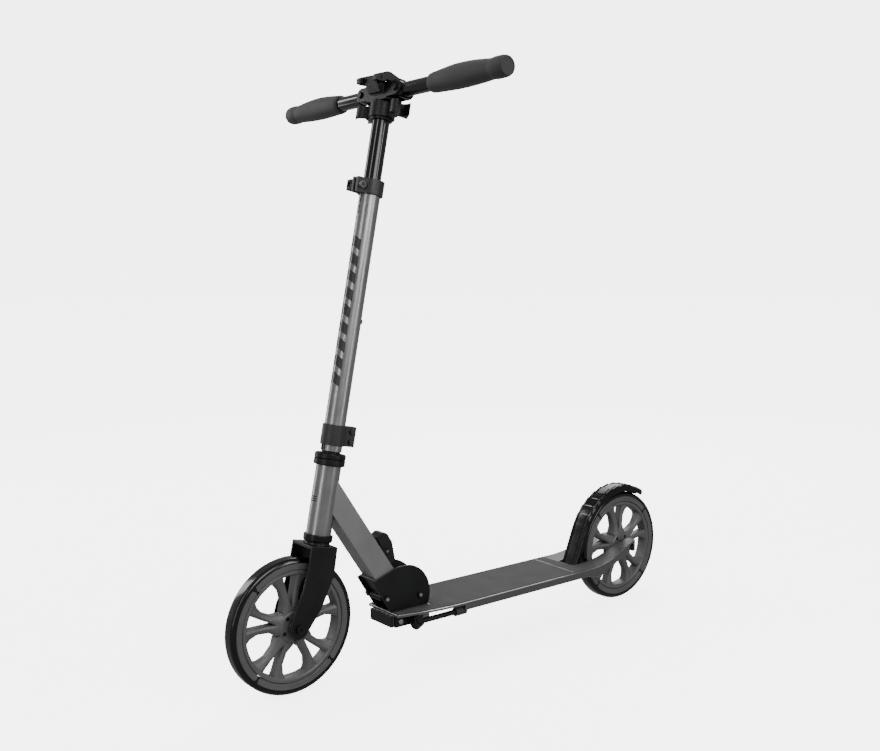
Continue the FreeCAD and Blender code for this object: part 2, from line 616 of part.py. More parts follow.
# ---------------------------------------------------------------- frame tube, fold bracket and release lever
def frame_tube():
    """Square frame tube from the fold bracket up to the head tube, mitred round the head tube."""
    back, deep, wide, wall = val("tube_back"), val("tube_deep"), val("tube_wide"), val("tube_wall")
    low, top = val("tube_from"), val("tube_to")
    parts = []
    for label, inset in (("outer", 0.0), ("inner", wall)):
        solid = doc.addObject("Part::Box", f"frame_tube_{label}")
        corner_x, corner_z = TUBE.point(-back + inset, low - (0 if label == "outer" else 1))
        for name, size in (("Length", deep - 2 * inset), ("Width", wide - 2 * inset),
                           ("Height", top - low + (0 if label == "outer" else 60)),
                           ("Placement.Base.x", corner_x), ("Placement.Base.y", inset - wide / 2),
                           ("Placement.Base.z", corner_z), ("Placement.Rotation.Angle", TUBE.lean)):
            if name == "Placement.Rotation.Angle":
                solid.Placement = FreeCAD.Placement(solid.Placement.Base,
                                                    FreeCAD.Rotation(FreeCAD.Vector(0, 1, 0),
                                                                     TUBE.lean.value))
            solid.setExpression(name, Size.of(size).text)
        parts.append(solid)
    column = doc.addObject("Part::Cylinder", "frame_tube_mitre")
    STEER.place(column)
    column.setExpression("Radius", val("head_r").text)
    column.setExpression("Height", (val("head_top") + 60).text)
    front = doc.addObject("Part::Box", "frame_tube_front")
    Frame(*STEER.point(0.0, 60.0), STEER.lean, -val("head_r") * 2).place(front)
    for name, size in (("Length", val("head_r") * 3), ("Width", val("head_r") * 4),
                       ("Height", val("head_top"))):
        front.setExpression(name, size.text)
    hollow = combine("Cut", "frame_tube_hollow", *parts)
    mitred = combine("Cut", "frame_tube_mitred", hollow, column)
    tube = combine("Cut", "frame_tube_cut", mitred, front)
    tube.Label = "frame_tube"
    NODES.append(tube)
    # hinge block: fills the tube's foot and carries the fold pivot
    inner_back, inner_front = wall - back, deep - back - wall
    half = wide - 2 * wall
    block = Piece("fold_hinge_block", TUBE)
    eye = 6.5
    block.pad("XZ", [[(inner_back, 10.0), (-6.0, -eye + 0.5), (0.0, -eye), (eye, 0.0, eye), (0.0, eye, eye),
                      (inner_front, low - 0.5), (inner_front, low + 38), (inner_back, low + 38)]], half)
    block.cut("XZ", [(0.0, 0.0, val("fold_bolt_r") + val("running_gap"))], 80.0)


def release_lever():
    """Press lever behind the frame tube with its mount, pin and return spring."""
    back, gap = val("tube_back"), val("running_gap")
    pin_x, pin_z = -back - 8.0, 56.0
    lever = Piece("release_lever", TUBE)
    outline = [(-back - 7, 86.6), (-back - 17, 85.8), (-back - 25.5, 71.0, 14.0), (-back - 25.5, 60.0),
               (-back - 14, 32.0), (-back - 2.0, 30.0), (-back - 2.0, 50.0)]
    lever.pad("XZ", [outline], 20.0)
    lever.cut("XZ", [(pin_x, pin_z, 2.0)], 60.0)
    lever.cut("XZ", [(pin_x, pin_z, 5.0)], 7.0)
    mount = Piece("release_lever_mount", TUBE)
    lug = [(-back, 48.0), (-back, 64.0), (pin_x - 1.0, 60.5), (pin_x - 4.0, 56.0, 5.0),
           (pin_x - 1.0, 51.5, 5.0)]
    for side in (1, -1):
        mount.pad("XZ", [lug], 3.0, offset=-side * 12.0)
    mount.pad("XZ", [box(-back - 1.4, -back, 48.0, 64.0)], 27.0)
    mount.cut("XZ", [(pin_x, pin_z, 1.95)], 60.0)
    pin = Piece("release_lever_pin", TUBE)
    pin.pad("XZ", [(pin_x, pin_z, 2.0 - gap)], 29.0)
    spring = Piece("release_lever_spring", TUBE)
    spring.pad("XZ", [(pin_x, pin_z, 4.4)], 6.2)
    spring.cut("XZ", [(pin_x, pin_z, 2.0 - gap)], 20.0)


def fold_bracket():
    """Steel channel on the deck: two tall rounded side plates, a base and a slanted front web."""
    px, pz, top = val("pivot_x"), val("pivot_z"), val("deck_top")
    half, thick, base = val("plate_half"), val("plate_thick"), val("base_thick")
    bracket = Piece("fold_bracket", GROUND)
    outline = [(px - 9, top), (px + 25.7, pz + 30.7), (px - 14.5, pz + 44.5), (px - 32, pz + 47, 45.0),
               (px - 82.5, top, 50.5)]
    bracket.pad("XZ", [outline], 2 * half)
    bracket.cut("XZ", [box(px - 120, px + 60, top + base, pz + 80)], 2 * (half - thick))
    face = val("tube_deep") - val("tube_back") + val("body_gap")
    web = [TUBE.point(x, z) for x, z in ((face, 12.0), (face + thick, 12.0), (face + thick, 37.5),
                                         (face, 38.5))]
    bracket.pad("XZ", [web], 2 * (half - thick))
    bolt_r = val("fold_bolt_r") + val("running_gap")
    rear_x, rear_z = val("rear_bolt_x"), val("rear_bolt_z")
    bracket.cut("XZ", [(px, pz, bolt_r), (rear_x, rear_z, bolt_r)], 4 * half)
    cross_bolt("fold_pivot_bolt", GROUND, px, pz, val("fold_bolt_r"), 5.2, half, half, socket=4.0,
               across=11.0)
    bolts = Piece("bracket_rear_bolts", GROUND)
    for side in (1, -1):
        bolts.pad("XZ", [(rear_x, rear_z, val("fold_bolt_r"))], 9.0, offset=-side * (half - 4.5))
        bolts.pad("XZ", [(rear_x, rear_z, 5.2)], 3.0, offset=-side * (half + 1.5))
        bolts.pad("XZ", [hexagon(11.0, rear_x, rear_z)], 5.6, offset=-side * (half - thick - 2.8))


# ---------------------------------------------------------------- deck
def plan_outline(inset, tail_inset=0.0):
    """Half-plan of the deck mirrored into a full outline: tapered front, straight sides, narrowing tail."""
    half, front, nose = val("deck_half"), val("deck_front"), val("front_half")
    start, tail = val("taper_from"), val("tail_end")
    drop = half - nose
    run = front - start
    front_r = (run * run + drop * drop) / (2 * drop)
    back_start = val("tail_narrow_from")
    tail_drop, tail_run = half - val("tail_half"), back_start - tail
    back_r = (tail_run * tail_run + tail_drop * tail_drop) / (2 * tail_drop)
    front, tail = front - inset, tail + tail_inset
    return [(tail, inset - val("tail_half")), (back_start, inset - half, back_r - inset),
            (start, inset - half),
            (front, inset - nose, front_r - inset), (front, nose - inset),
            (start, half - inset, front_r - inset),
            (back_start, half - inset), (tail, val("tail_half") - inset, back_r - inset)]


def free_sketch(name, plane, loops):
    """A sketch outside any body, on the XY plane or standing on the XZ plane."""
    sketch = doc.addObject("Sketcher::SketchObject", name)
    if plane == "XZ":
        sketch.Placement = FreeCAD.Placement(FreeCAD.Vector(), FreeCAD.Rotation(FreeCAD.Vector(1, 0, 0), 90))
    fill_sketch(sketch, loops)
    return sketch


def extrude(name, plane, loops, length, symmetric=False):
    solid = doc.addObject("Part::Extrusion", name)
    solid.Base = free_sketch(name + "_outline", plane, loops)
    solid.DirMode = "Normal"
    solid.Solid = True
    solid.Symmetric = symmetric
    solid.setExpression("LengthFwd", Size.of(length).text)
    return solid


def combine(kind, name, base, tool):
    solid = doc.addObject("Part::" + kind, name)
    solid.Base, solid.Tool = base, tool
    return solid


def side_profile(drop, inset_end=0.0):
    """Side view of the deck's top surface and the line drop below it."""
    top, rise = val("deck_top"), val("rise_from")
    front, end, tail_top = val("deck_front"), val("tail_end"), val("tail_top")
    knee_x, knee_z = rise - 80, top + 13.5
    first_r = (80.0 * 80.0 + 13.5 * 13.5) / (2 * 13.5)
    return [(front, top), (rise, top), (knee_x, knee_z, -first_r), (end + inset_end, tail_top, 287.0)] + drop


def deck():
    """Aluminium deck: flat plate with side flanges; the tail splits in two arms that rise to the rear axle."""
    top, deep, sheet, fl = val("deck_top"), val("deck_deep"), val("deck_sheet"), val("flange")
    front, start, end = val("deck_front"), val("flange_from"), val("tail_end")
    hub_x, hub_z = -(val("wheelbase") / 2), val("wheel_r")
    under = [(end, hub_z - 7), (hub_x + 21.5, hub_z - 7.5), (hub_x + 62.5, top - 4),
             (hub_x + 110.5, top - 19.0),
             (hub_x + 140.5, top - deep), (start, top - deep), (start, top - sheet), (front, top - sheet)]
    body = extrude("deck_side", "XZ", [side_profile(under)], 4 * val("deck_half"), True)
    plan = extrude("deck_plan", "XY", [plan_outline(0.0)], 300.0)
    shell = combine("Common", "deck_shell", body, plan)
    fore_of_axle = hub_x + 31.5
    lower = [(fore_of_axle, top + 12.5), (fore_of_axle, 20.0), (start + fl, 20.0), (start + fl, top - sheet)]
    rise = val("rise_from")
    hollow_side = [(rise + 2, top - sheet), (hub_x + 62.5, top + 4.0, -300.0)] + lower
    hollow = extrude("deck_hollow_side", "XZ", [hollow_side], 4 * val("deck_half"), True)
    inner_plan = extrude("deck_hollow_plan", "XY", [plan_outline(fl, 20.0)], 300.0)
    hollow = combine("Common", "deck_hollow_in", hollow, inner_plan)
    spine = val("slot_half") + fl
    keep = extrude("deck_spine", "XY", [box(end - 5, val("slot_front") + fl, -spine, spine)], 300.0)
    hollow = combine("Cut", "deck_hollow", hollow, keep)
    solid = combine("Cut", "deck_open", shell, hollow)
    slot_half, slot_front = val("slot_half"), val("slot_front")
    slot_outline = [(end - 20, -slot_half), (slot_front - 8, -slot_half), (slot_front, 8 - slot_half, 8.0),
                    (slot_front, slot_half - 8), (slot_front - 8, slot_half, 8.0), (end - 20, slot_half)]
    slot = extrude("deck_slot", "XY", [slot_outline], 300.0)
    solid = combine("Cut", "deck_slotted", solid, slot)
    holes = extrude("deck_cross_holes", "XZ", [(hub_x, hub_z, val("axle_r") + val("running_gap")),
                                               (val("hinge_x"), val("hinge_z"), 3.0)], 52.0, True)
    axle = extrude("deck_axle_hole", "XZ", [(hub_x, hub_z, val("axle_r") + val("running_gap"))], 200.0, True)
    solid = combine("Cut", "deck_drilled", combine("Cut", "deck_pinned", solid, holes), axle)
    recess = extrude("deck_nut_recess", "XZ", [(hub_x, hub_z, 9.0)], 200.0, True)
    middle = extrude("deck_recess_core", "XZ", [(hub_x, hub_z, 12.0)], 2 * val("nut_seat"), True)
    ring = combine("Cut", "deck_recess_ring", recess, middle)
    solid = combine("Cut", "deck_body", solid, ring)
    solid.Label = "deck"
    NODES.append(solid)


def deck_fittings():
    top, half = val("deck_top"), val("plate_half")
    inset = val("grip_inset")
    sheet = extrude("grip_plan", "XY", [plan_outline(inset)], val("grip_thick"))
    sheet.Placement = FreeCAD.Placement(FreeCAD.Vector(0, 0, top.value), FreeCAD.Rotation())
    sheet.setExpression("Placement.Base.z", top.text)
    px = val("pivot_x")
    rear_cut = extrude("grip_rear_cut", "XY", [box(val("tail_end") - 5, val("slot_front") + 4, -90.0,
                                                   90.0)], 200.0)
    clear = half + val("bolt_nut") + 0.5
    notch = box(px - 86.5, val("deck_front") + 5, -clear, clear)
    bracket_cut = extrude("grip_bracket_cut", "XY", [notch], 200.0)
    surface = combine("Cut", "grip_trimmed", sheet, rear_cut)
    surface = combine("Cut", "grip_surface_cut", surface, bracket_cut)
    surface.Label = "grip_surface"
    NODES.append(surface)
    low, under, width = val("block_low"), top - val("deck_sheet"), val("block_half")
    block = Piece("front_block", GROUND)
    block.pad("XZ", [box(val("block_rear"), val("block_front") - 4, low, under)], 2 * width)
    block.cut("YZ", [box(3 - width, width - 3, low + 3, under - 3)], 2 * val("wheelbase"))
    holes = [(x, (low + under) / 2, 2.5) for x in stand_screw_places()]
    block.cut("XZ", holes, 20.0, offset=-width)
    cap = Piece("front_end_cap", GROUND)
    cap.pad("XZ", [box(val("block_front") - 4, val("block_front"), low, under)], 2 * width)
    cap.pad("XZ", [box(val("block_front") - 10, val("block_front") - 4, low + 3.2, under - 3.2)],
            2 * width - 6.4)
    hub_x, hub_z = -(val("wheelbase") / 2), val("wheel_r")
    seat = val("nut_seat")
    cross_bolt("rear_axle_bolt", GROUND, hub_x, hub_z, val("axle_r"), 6.5, seat, seat)
    axle_spacers("rear", REAR_HUB, val("slot_half"))


# ---------------------------------------------------------------- rear brake fender
def fender():
    """Foot brake: a channel hinged in the deck slot that wraps the rear wheel, with a pad inside."""
    hx, hz = -(val("wheelbase") / 2), val("wheel_r")
    r, thick, half = val("fender_r"), val("fender_thick"), val("fender_half")
    px, pz = val("hinge_x"), val("hinge_z")
    join, tip = 22.0, 125.0
    deep = thick + 8

    def on(radius, angle):
        return hx + radius * math.cos(math.radians(angle)), hz + radius * math.sin(math.radians(angle))

    inner = r - deep
    skin = [(px - 5, pz - 4), (px + 5, pz - 3), (px + 6.5, pz + 12), on(r, join), (*on(r, tip), r),
            on(r - thick - 4, tip + 1.5), on(inner, tip - 6),
            (*on(inner, join), -inner), (px - 5, pz + 12)]
    shell = Piece("brake_fender", GROUND)
    shell.pad("XZ", [skin], 2 * half)
    hollow = [(px - 5.1, pz + 14), (px + 2.5, pz + 14), on(r - thick, join),
              (*on(r - thick, tip + 8), r - thick),
              on(inner - 5, tip + 8), (*on(inner - 5, join), -(inner - 5))]
    shell.cut("XZ", [hollow], 2 * half - 5)
    shell.cut("XZ", [(px, pz, 3.0 + val("running_gap"))], 80.0)
    for side in (1, -1):
        ridge = [(*on(r - 0.2, join + 8), 0.2 - r), on(r + 2.6, join + 12), (*on(r + 2.6, tip - 8), r + 2.6),
                 on(r - 0.2, tip - 2)]
        shell.pad("XZ", [ridge], 4.0, offset=-side * 10.0)
    pad = Piece("brake_pad", GROUND)
    tyre = val("wheel_r") + 3.0
    pad.pad("XZ", [[on(tyre, 72), (*on(tyre, 98), tyre), on(r - thick, 98),
                    (*on(r - thick, 72), -(r - thick))]],
            2 * half - 9)
    pin = Piece("fender_hinge_pin", GROUND)
    pin.pad("XZ", [(px, pz, 3.0)], 50.0)
    for side in (1, -1):
        pin.pad("XZ", [(px, pz, 5.2)], 1.4, offset=-side * 18.8)


# ---------------------------------------------------------------- side stand
def stand_screw_places():
    """Where along the deck the stand mount's two screws stand."""
    return val("stand_x") + 25, val("stand_x") - 15


def side_stand():
    """Stand on the left of the front block. Its leg turns about a slanted pin, so that it swings out to the
    side as it comes down; folded, it points back under the deck."""
    sx, width, low = val("stand_x"), val("block_half"), val("block_low")
    top = val("deck_top") - val("deck_sheet")
    plate = Piece("stand_mount_plate", GROUND, node=False)
    plate.pad("XZ", [box(sx - 20, sx + 34, low, top)], 5.0, offset=-(width + 2.5))
    bolts = Piece("stand_mount_bolts", GROUND)
    z = (low + top) / 2
    for x in stand_screw_places():
        bolts.pad("XZ", [(x, z, 2.5)], 9.0, offset=-(width + 0.5))
        bolts.pad("XZ", [hexagon(8.0, x, z)], 3.0, offset=-(width + 6.5))
        plate.cut("XZ", [(x, z, 2.5)], 12.0, offset=-(width + 2.5))
    eye_half, bolt_r, reach = val("stand_eye_half"), val("stand_bolt_r"), val("stand_long")
    eye_r, arm_r, ear_thick = 9.0, eye_half - 0.3, 5.0
    ear_face = -(eye_half + val("body_gap"))
    ear = Piece("stand_mount_ear", STAND, node=False)
    ear.pad("XY", [[(-9.0, -16.0), (9.0, -16.0), (9.0, 0.0), (-9.0, 0.0, 9.001)]], ear_thick,
            offset=ear_face - ear_thick, symmetric=False)
    ear.cut("XY", [(0.0, 0.0, bolt_r)], 60.0)
    mount = combine("Fuse", "stand_mount_joined", plate.body, ear.body)
    mount.Label = "stand_mount"
    NODES.append(mount)
    bolt = Piece("stand_pivot_bolt", STAND)
    bolt.pad("XY", [(0.0, 0.0, bolt_r)], ear_thick + 2 * eye_half + 2, offset=ear_face - ear_thick - 1,
             symmetric=False)
    bolt.pad("XY", [(0.0, 0.0, 5.6)], 2.5, offset=eye_half + val("body_gap"), symmetric=False)
    leg = Piece("stand_leg", STAND)
    leg.pad("XY", [(0.0, 0.0, eye_r)], 2 * eye_half)
    leg.pad("YZ", [(0.0, 0.0, arm_r)], reach - 14, offset=-6.0, symmetric=False).Reversed = True
    leg.cut("XY", [(0.0, 0.0, bolt_r + val("running_gap"))], 60.0)
    foot = Piece("stand_foot", STAND)
    foot.pad("YZ", [(0.0, 0.0, 7.0)], 22.0, offset=22 - reach, symmetric=False).Reversed = True
    foot.cut("YZ", [(0.0, 0.0, arm_r)], 14.0, offset=22 - reach, symmetric=False)


def build():
    for name, frame in (("front", FRONT_HUB), ("rear", REAR_HUB)):
        wheel(name, frame)
    fork()
    inner = val("fork_half") - val("fork_sheet")
    half = val("fork_half")
    cross_bolt("front_axle_bolt", FRONT_HUB, Size.of(0.0), Size.of(0.0), val("axle_r"), 6.5, half, half)
    axle_spacers("front", FRONT_HUB, inner)
    steering_column()
    stem()
    stem_clamp()
    height_clamp()
    sliding_tube()
    handlebar()
    frame_tube()
    release_lever()
    fold_bracket()
    deck()
    deck_fittings()
    fender()
    side_stand()


def export():
    """Recomputes, refuses any failed object or bad shape, and writes one STEP file per sub-part."""
    doc.recompute()
    faults = [f"{o.Label}: {o.State}" for o in doc.Objects if "Invalid" in o.State or "Error" in o.State]
    for node in NODES:
        if node.Shape.isNull() or not node.Shape.isValid() or not node.Shape.Solids:
            faults.append(f"{node.Label}: bad shape")
    if faults:
        raise RuntimeError("; ".join(faults))
    os.makedirs("parts", exist_ok=True)
    for node in NODES:
        node.Shape.exportStep(f"parts/{node.Label}.step")
        print(node.Label, len(node.Shape.Solids), round(node.Shape.Volume / 1000.0, 2))


build()
export()
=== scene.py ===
"""Looks of a folding kick scooter: finishes, softened parts, wheels, fender, markings and the studio."""

import json
import logging
import math
from dataclasses import dataclass, field
from enum import Enum

import bmesh
import bpy
from mathutils import Matrix, Vector


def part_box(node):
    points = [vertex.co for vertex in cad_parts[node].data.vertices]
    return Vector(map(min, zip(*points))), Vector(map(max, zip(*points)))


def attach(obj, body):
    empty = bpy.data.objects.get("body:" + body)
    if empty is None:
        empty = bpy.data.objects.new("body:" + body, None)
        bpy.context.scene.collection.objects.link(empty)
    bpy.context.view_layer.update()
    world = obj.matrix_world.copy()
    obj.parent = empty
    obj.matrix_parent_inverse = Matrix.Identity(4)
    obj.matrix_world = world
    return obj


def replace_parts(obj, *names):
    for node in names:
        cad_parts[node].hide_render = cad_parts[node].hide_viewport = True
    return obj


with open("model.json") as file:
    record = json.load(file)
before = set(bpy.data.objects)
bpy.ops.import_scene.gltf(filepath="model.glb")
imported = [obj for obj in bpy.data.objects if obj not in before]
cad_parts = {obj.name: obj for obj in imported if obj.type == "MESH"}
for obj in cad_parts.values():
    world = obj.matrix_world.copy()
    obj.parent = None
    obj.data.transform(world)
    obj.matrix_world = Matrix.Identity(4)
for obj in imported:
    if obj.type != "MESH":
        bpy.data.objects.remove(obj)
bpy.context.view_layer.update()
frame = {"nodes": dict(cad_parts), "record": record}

LOG = logging.getLogger("kick_scooter")
RAKE = math.radians(11.0)
FRONT_AXLE = Vector((0.3625, 0.0, 0.1025))
REAR_AXLE = Vector((-0.3625, 0.0, 0.1025))
STEER_FOOT = Vector((0.3363, 0.0, 0.1025))
STEER_TURN = Matrix.Rotation(-RAKE, 4, "Y")
STEER_PLACE = Matrix.Translation(STEER_FOOT) @ STEER_TURN
BAR_UP = 0.8037
FLAT_ANGLE = math.radians(0.6)
SEAM_GAP = 1e-6


class Grain(Enum):
    """The kinds of surface that a finish can have."""

    LACQUER = "lacquer"
    POWDER = "powder"
    BRUSHED = "brushed"
    MOULDED = "moulded"
    RUBBER = "rubber"
    TAPE = "tape"


GRAIN_SCALE = {Grain.LACQUER: 900.0, Grain.POWDER: 1400.0, Grain.BRUSHED: 500.0, Grain.MOULDED: 1600.0,
               Grain.RUBBER: 1100.0, Grain.TAPE: 1900.0}
GRAIN_DEPTH = {Grain.LACQUER: 0.012, Grain.POWDER: 0.05, Grain.BRUSHED: 0.06, Grain.MOULDED: 0.06,
               Grain.RUBBER: 0.12, Grain.TAPE: 0.5}


@dataclass(frozen=True)
class Finish:
    """A procedural finish of one of the record's material slots."""

    slot: str
    colour: tuple[float, float, float]
    grain: Grain
    metal: float = 0.0
    rough: float = 0.4
    coat: float = 0.0
    coat_rough: float = 0.08
    spread: float = 0.12
    rough_spread: float = 0.08
    sheen: float = 0.0
    gloss: float = 0.5

    def material(self) -> bpy.types.Material:
        """The Blender material of this finish, built once.

        Returns:
            The material.
        """
        name = f"finish_{self.slot}"
        known = bpy.data.materials.get(name)
        if known:
            return known
        material = bpy.data.materials.new(name)
        material.use_nodes = True
        tree = material.node_tree
        shader = tree.nodes["Principled BSDF"]
        place = tree.nodes.new("ShaderNodeTexCoord").outputs["Object"]
        if self.grain is Grain.BRUSHED:
            place = self.stretched(tree, place)
        cloud = self.noise(tree, place, 22.0, 4.0)
        fine = self.noise(tree, place, GRAIN_SCALE[self.grain], 3.0)
        self.colour_into(tree, cloud, fine, shader)
        self.range_into(tree, cloud, self.rough - self.rough_spread, self.rough + self.rough_spread,
                        shader.inputs["Roughness"])
        bump = tree.nodes.new("ShaderNodeBump")
        bump.inputs["Strength"].default_value = GRAIN_DEPTH[self.grain]
        bump.inputs["Distance"].default_value = 0.0004
        tree.links.new(fine, bump.inputs["Height"])
        tree.links.new(bump.outputs["Normal"], shader.inputs["Normal"])
        shader.inputs["Metallic"].default_value = self.metal
        shader.inputs["Coat Weight"].default_value = self.coat
        shader.inputs["Coat Roughness"].default_value = self.coat_rough
        shader.inputs["Sheen Weight"].default_value = self.sheen
        shader.inputs["Specular IOR Level"].default_value = self.gloss
        return material

    def stretched(self, tree: bpy.types.NodeTree, place: bpy.types.NodeSocket) -> bpy.types.NodeSocket:
        """Coordinates drawn out along X, for the marks of brushing.

        Args:
            tree: The material's node tree.
            place: The coordinates to draw out.

        Returns:
            The drawn-out coordinates.
        """
        mapping = tree.nodes.new("ShaderNodeMapping")
        mapping.inputs["Scale"].default_value = (0.06, 1.0, 1.0)
        tree.links.new(place, mapping.inputs["Vector"])
        return mapping.outputs["Vector"]

    def noise(self, tree: bpy.types.NodeTree, place: bpy.types.NodeSocket, scale: float,
              detail: float) -> bpy.types.NodeSocket:
        """A noise texture.

        Args:
            tree: The material's node tree.
            place: The coordinates.
            scale: Features per metre.
            detail: Octaves.

        Returns:
            The noise's factor.
        """
        node = tree.nodes.new("ShaderNodeTexNoise")
        node.inputs["Scale"].default_value = scale
        node.inputs["Detail"].default_value = detail
        tree.links.new(place, node.inputs["Vector"])
        return node.outputs["Fac"]

    def colour_into(self, tree: bpy.types.NodeTree, cloud: bpy.types.NodeSocket, fine: bpy.types.NodeSocket,
                    shader: bpy.types.ShaderNode) -> None:
        """Links a colour that varies slowly over the piece, with a little of the grain in it.

        Args:
            tree: The material's node tree.
            cloud: The slow noise.
            fine: The grain.
            shader: The surface shader.
        """
        both = tree.nodes.new("ShaderNodeMath")
        both.operation = "MULTIPLY_ADD"
        both.inputs[1].default_value = 0.6 if self.grain in (Grain.TAPE, Grain.RUBBER) else 0.25
        tree.links.new(fine, both.inputs[0])
        tree.links.new(cloud, both.inputs[2])
        ramp = tree.nodes.new("ShaderNodeValToRGB")
        low, high = ramp.color_ramp.elements
        low.position, high.position = 0.35, 0.95
        low.color = (*[c * (1.0 - self.spread) for c in self.colour], 1.0)
        high.color = (*[min(1.0, c * (1.0 + self.spread)) for c in self.colour], 1.0)
        tree.links.new(both.outputs["Value"], ramp.inputs["Fac"])
        tree.links.new(ramp.outputs["Color"], shader.inputs["Base Color"])

    def range_into(self, tree: bpy.types.NodeTree, source: bpy.types.NodeSocket, low: float, high: float,
                   target: bpy.types.NodeSocket) -> None:
        """Links a noise, brought to a range, to a socket.

        Args:
            tree: The material's node tree.
            source: The noise.
            low: The value where the noise is low.
            high: The value where it is high.
            target: The socket.
        """
        node = tree.nodes.new("ShaderNodeMapRange")
        node.inputs["From Min"].default_value = 0.3
        node.inputs["From Max"].default_value = 0.7
        node.inputs["To Min"].default_value = max(0.02, low)
        node.inputs["To Max"].default_value = min(1.0, high)
        tree.links.new(source, node.inputs["Value"])
        tree.links.new(node.outputs["Result"], target)


FINISHES = {f.slot: f for f in (
    Finish("frame_silver", (0.25, 0.25, 0.254), Grain.LACQUER, metal=0.85, rough=0.33, coat=0.25,
           spread=0.05),
    Finish("frame_tube_grey", (0.21, 0.21, 0.213), Grain.LACQUER, metal=0.6, rough=0.42, coat=0.15,
           spread=0.06),
    Finish("black_metal", (0.0045, 0.0045, 0.0048), Grain.POWDER, rough=0.38, spread=0.3, gloss=0.28),
    Finish("gloss_black", (0.003, 0.003, 0.0033), Grain.LACQUER, rough=0.14, coat=0.5, coat_rough=0.03,
           rough_spread=0.04, gloss=0.3),
    Finish("clamp_grey", (0.024, 0.024, 0.025), Grain.POWDER, metal=0.1, rough=0.42, gloss=0.35),
    Finish("steel", (0.45, 0.45, 0.46), Grain.BRUSHED, metal=1.0, rough=0.3),
    Finish("deck_aluminium", (0.078, 0.078, 0.080), Grain.BRUSHED, metal=0.35, rough=0.42, spread=0.06),
    Finish("grip_tape", (0.040, 0.040, 0.041), Grain.TAPE, rough=0.85, spread=0.45, gloss=0.3),
    Finish("rim_grey", (0.095, 0.095, 0.097), Grain.MOULDED, metal=0.15, rough=0.42, spread=0.08, gloss=0.4),
    Finish("tyre_band", (0.080, 0.080, 0.082), Grain.MOULDED, rough=0.5, spread=0.1, gloss=0.4),
    Finish("tyre_black", (0.003, 0.003, 0.0033), Grain.LACQUER, rough=0.18, coat=0.3, gloss=0.3),
    Finish("grip_rubber", (0.024, 0.024, 0.025), Grain.RUBBER, rough=0.62, spread=0.15, sheen=0.1,
           gloss=0.35),
    Finish("black_plastic", (0.006, 0.006, 0.0063), Grain.MOULDED, rough=0.4, spread=0.25, gloss=0.35),
    Finish("fender_plastic", (0.003, 0.003, 0.0033), Grain.LACQUER, rough=0.22, coat=0.1, spread=0.3,
           gloss=0.25),
    Finish("brake_rubber", (0.02, 0.02, 0.02), Grain.RUBBER, rough=0.7),
)}


class Shape:
    """Helpers shared by the classes that build meshes. Every finished object sits at the origin."""

    @staticmethod
    def finished(name: str, shape: bmesh.types.BMesh, finish: str, body: str, smooth: float = 32.0,
                 weighted: bool = True) -> bpy.types.Object:
        """Makes an object of a mesh, dresses it and lets it ride on a body.

        Args:
            name: The piece's name.
            shape: Its mesh, which is freed.
            finish: The material slot.
            body: The body that it rides on.
            smooth: The angle in degrees over which an edge is sharp.
            weighted: Whether large faces keep their flat shading beside rounded edges.

        Returns:
            The object.
        """
        mesh = bpy.data.meshes.new(name)
        shape.to_mesh(mesh)
        shape.free()
        mesh.shade_smooth()
        mesh.set_sharp_from_angle(angle=math.radians(smooth))
        mesh.materials.append(FINISHES[finish].material())
        piece = bpy.data.objects.new(name, mesh)
        bpy.context.scene.collection.objects.link(piece)
        if weighted:
            normals = piece.modifiers.new("even_shading", "WEIGHTED_NORMAL")
            normals.keep_sharp = True
        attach(piece, body)
        LOG.info("%s on %s: %d faces", name, body, len(mesh.polygons))
        return piece

    @staticmethod
    def round_edges(shape: bmesh.types.BMesh, width: float, segments: int = 2,
                    angle: float = 38.0) -> list[bmesh.types.BMFace]:
        """Rounds every edge that is sharper than an angle.

        Args:
            shape: The mesh.
            width: The width of the rounding in metres.
            segments: Its steps.
            angle: The angle in degrees.

        Returns:
            The faces of the rounding.
        """
        limit = math.radians(angle)
        sharp = [e for e in shape.edges if len(e.link_faces) == 2 and e.calc_face_angle(0.0) > limit]
        if not sharp:
            return []
        made = bmesh.ops.bevel(shape, geom=sharp, offset=width, offset_type="OFFSET", segments=segments,
                               profile=0.5, affect="EDGES", material=-1, clamp_overlap=False, loop_slide=True)
        return made["faces"]


# Parts whose edge rounding gets a lighter finish than their faces, and that finish.
LIGHTER_EDGE_FINISHES = {"deck": "steel", "fork": "clamp_grey", "fold_bracket": "clamp_grey"}
OTHER_FINISHES = {
    "fold_pivot_bolt": "black_metal", "bracket_rear_bolts": "black_metal", "height_clamp_nut": "rim_grey",
    "front_block": "frame_silver", "stem_screws": "clamp_grey", "release_lever_mount": "black_metal",
    "bar_head": "black_metal",
}


@dataclass
class SoftenedParts:
    """Parts whose shape is right already: their edges get the small radius that real ones have."""

    width: float = 0.0005
    overrides: dict[str, float] = field(default_factory=dict)

    def build(self, names: list[str]) -> None:
        """Softens the parts.

        Args:
            names: The nodes.
        """
        slots = {p["node"]: p["material_slot"] for p in frame["record"]["subparts"]}
        bodies = {n: b for b, ns in frame["record"]["behaviour"]["bodies"].items() for n in ns}
        for name in names:
            shape = bmesh.new()
            shape.from_mesh(frame["nodes"][name].data)
            bmesh.ops.remove_doubles(shape, verts=shape.verts, dist=SEAM_GAP)
            bmesh.ops.dissolve_limit(shape, angle_limit=FLAT_ANGLE, verts=shape.verts,
                                     edges=shape.edges, delimit=set())
            width = self.overrides.get(name, self.width)
            rounded = Shape.round_edges(shape, width)
            # the faces of the edge rounding get the lighter finish
            if name in LIGHTER_EDGE_FINISHES:
                for face in rounded:
                    face.material_index = 1
            finish = OTHER_FINISHES.get(name, slots[name])
            piece = Shape.finished(f"{name}_dressed", shape, finish, bodies[name])
            if name in LIGHTER_EDGE_FINISHES:
                piece.data.materials.append(FINISHES[LIGHTER_EDGE_FINISHES[name]].material())
            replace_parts(piece, name)


